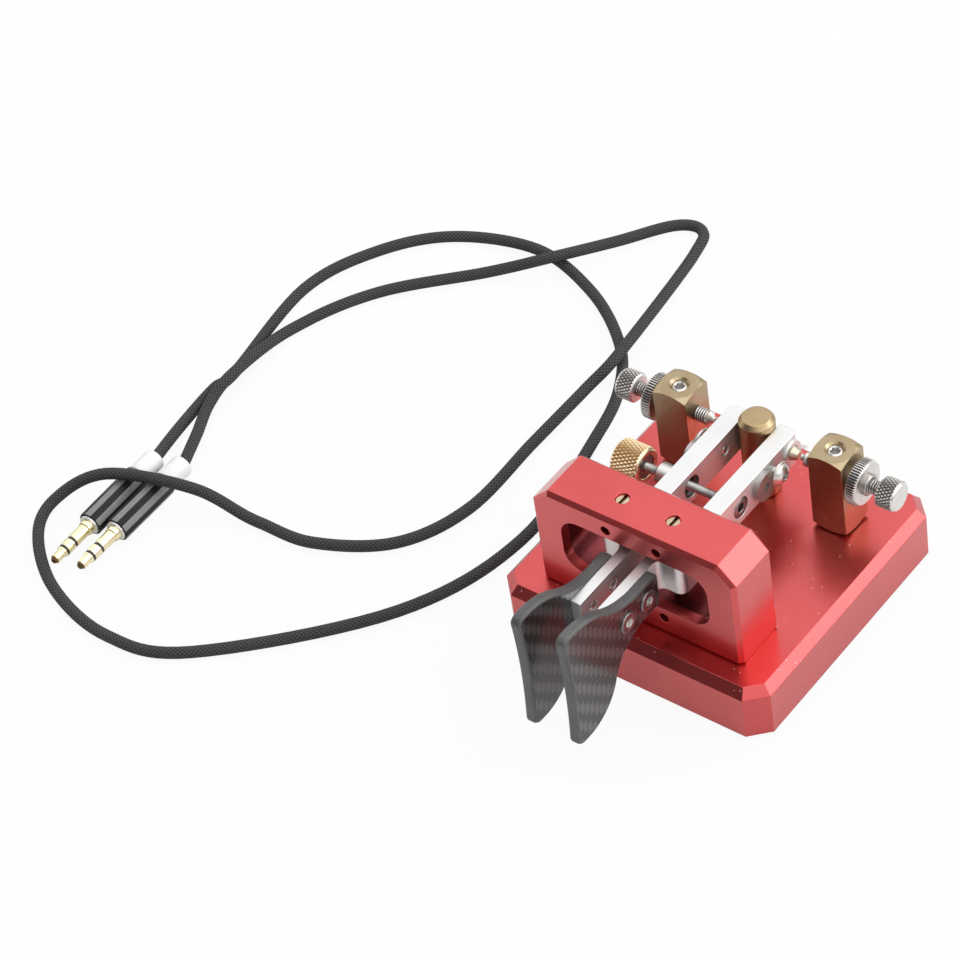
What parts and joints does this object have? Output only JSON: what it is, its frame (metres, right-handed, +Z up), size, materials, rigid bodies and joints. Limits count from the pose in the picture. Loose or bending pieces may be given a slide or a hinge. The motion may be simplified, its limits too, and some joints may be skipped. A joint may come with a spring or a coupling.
{
  "type": "morse paddle key",
  "caption": "Twin-lever Morse paddle key: square metal base, bridge with pivoted levers, finger paddles, screw-set contacts, magnetic return and a loose patch cable.",
  "frame": {"origin": "middle of the rubber pad's underside, on the surface the key stands on", "axes": "+Z up, +Y to the back where the jack is, +X to the right as the operator sees it; the paddles stand out in front at -Y"},
  "size_m": [0.2127, 0.2079, 0.0481],
  "materials": {
    "anodised": "red satin anodised aluminium",
    "silver": "fine satin aluminium",
    "steel": "plain machine screw steel",
    "nickel": "nickel plate, knurled where gripped",
    "brass": "satin turned and milled brass",
    "gold_brass": "bright gold-coloured brass",
    "copper": "tinned copper wire and ring ends",
    "carbon": "carbon fibre twill under clear resin",
    "pad": "matt black rubber sheet",
    "insulator": "white nylon",
    "black_plastic": "gloss black moulded plastic",
    "white_plastic": "white moulded plastic",
    "braid": "dark grey braided sleeve"
  },
  "bodies": {
    "frame": {"base": "anodised", "rubber_pad": "pad", "bridge": "anodised", "bridge_screws": "steel", "upper_pivot_screws": "brass", "lower_pivot_screws": "brass", "pivot_lock_screws": "steel", "stop_post": "brass", "stop_screw": "steel", "left_post": "brass", "right_post": "brass", "post_insulators": "insulator", "post_screws": "steel", "contact_clamp_screws": "steel", "output_jack": "black_plastic", "jack_nut": "nickel", "wiring": "copper", "patch_cable": "braid", "plug_a_pin": "gold_brass", "plug_a_barrel": "black_plastic", "plug_a_sleeve": "white_plastic", "plug_b_pin": "gold_brass", "plug_b_barrel": "black_plastic", "plug_b_sleeve": "white_plastic"},
    "left_arm": {"left_lever": "silver", "left_bearings": "brass", "left_paddle": "carbon", "left_paddle_screws": "nickel", "left_contact_button": "brass", "left_trim_disc": "silver", "left_trim_screw": "nickel", "lever_magnet": "nickel"},
    "right_arm": {"right_lever": "silver", "right_bearings": "brass", "right_paddle": "carbon", "right_paddle_screws": "nickel", "right_contact_button": "brass", "right_trim_disc": "silver", "right_trim_screw": "nickel", "tension_screw": "nickel"},
    "left_contact": {"left_contact_screw": "nickel"},
    "left_knob": {"left_contact_knob": "nickel"},
    "left_lock": {"left_lock_nut": "nickel"},
    "right_contact": {"right_contact_screw": "nickel"},
    "right_knob": {"right_contact_knob": "nickel"},
    "right_lock": {"right_lock_nut": "nickel"},
    "tension_slider": {"nut_magnet": "nickel"},
    "tension_wheel": {"tension_nut": "gold_brass"}
  },
  "joints": [
    {"name": "left_lever_pivot", "type": "hinge", "parent": "frame", "child": "left_arm", "pos_m": [-0.0075, -0.02435, 0.0331], "axis": [0, 0, 1], "range_deg": [0, 0.68], "stiffness_Nm_per_rad": 0.6, "springref_deg": -1.15},
    {"name": "right_lever_pivot", "type": "hinge", "parent": "frame", "child": "right_arm", "pos_m": [0.0075, -0.02435, 0.0331], "axis": [0, 0, -1], "range_deg": [0, 0.68], "stiffness_Nm_per_rad": 0.6, "springref_deg": -1.15},
    {"name": "left_contact_travel", "type": "slide", "parent": "frame", "child": "left_contact", "axis": [-1, 0, 0], "range_m": [0, 0.0025]},
    {"name": "left_knob_turn", "type": "hinge", "parent": "left_contact", "child": "left_knob", "pos_m": [-0.039, 0.0215, 0.0331], "axis": [-1, 0, 0], "range_deg": [-1, 1801]},
    {"name": "left_lock_turn", "type": "hinge", "parent": "frame", "child": "left_lock", "pos_m": [-0.031, 0.0215, 0.0331], "axis": [-1, 0, 0], "range_deg": [0, 90]},
    {"name": "right_contact_travel", "type": "slide", "parent": "frame", "child": "right_contact", "axis": [1, 0, 0], "range_m": [0, 0.0025]},
    {"name": "right_knob_turn", "type": "hinge", "parent": "right_contact", "child": "right_knob", "pos_m": [0.039, 0.0215, 0.0331], "axis": [1, 0, 0], "range_deg": [-1, 1801]},
    {"name": "right_lock_turn", "type": "hinge", "parent": "frame", "child": "right_lock", "pos_m": [0.031, 0.0215, 0.0331], "axis": [1, 0, 0], "range_deg": [0, 90]},
    {"name": "tension_travel", "type": "slide", "parent": "right_arm", "child": "tension_slider", "axis": [1, 0, 0], "range_m": [-0.002, 0.003]},
    {"name": "tension_turn", "type": "hinge", "parent": "tension_slider", "child": "tension_wheel", "pos_m": [-0.023, -0.00085, 0.0331], "axis": [1, 0, 0], "range_deg": [-1441, 2161]}
  ],
  "couplings": [
    {"joint": "left_knob_turn", "follows": "left_contact_travel", "rad_per_m": 12566},
    {"joint": "right_knob_turn", "follows": "right_contact_travel", "rad_per_m": 12566},
    {"joint": "tension_turn", "follows": "tension_travel", "rad_per_m": 12566}
  ]
}
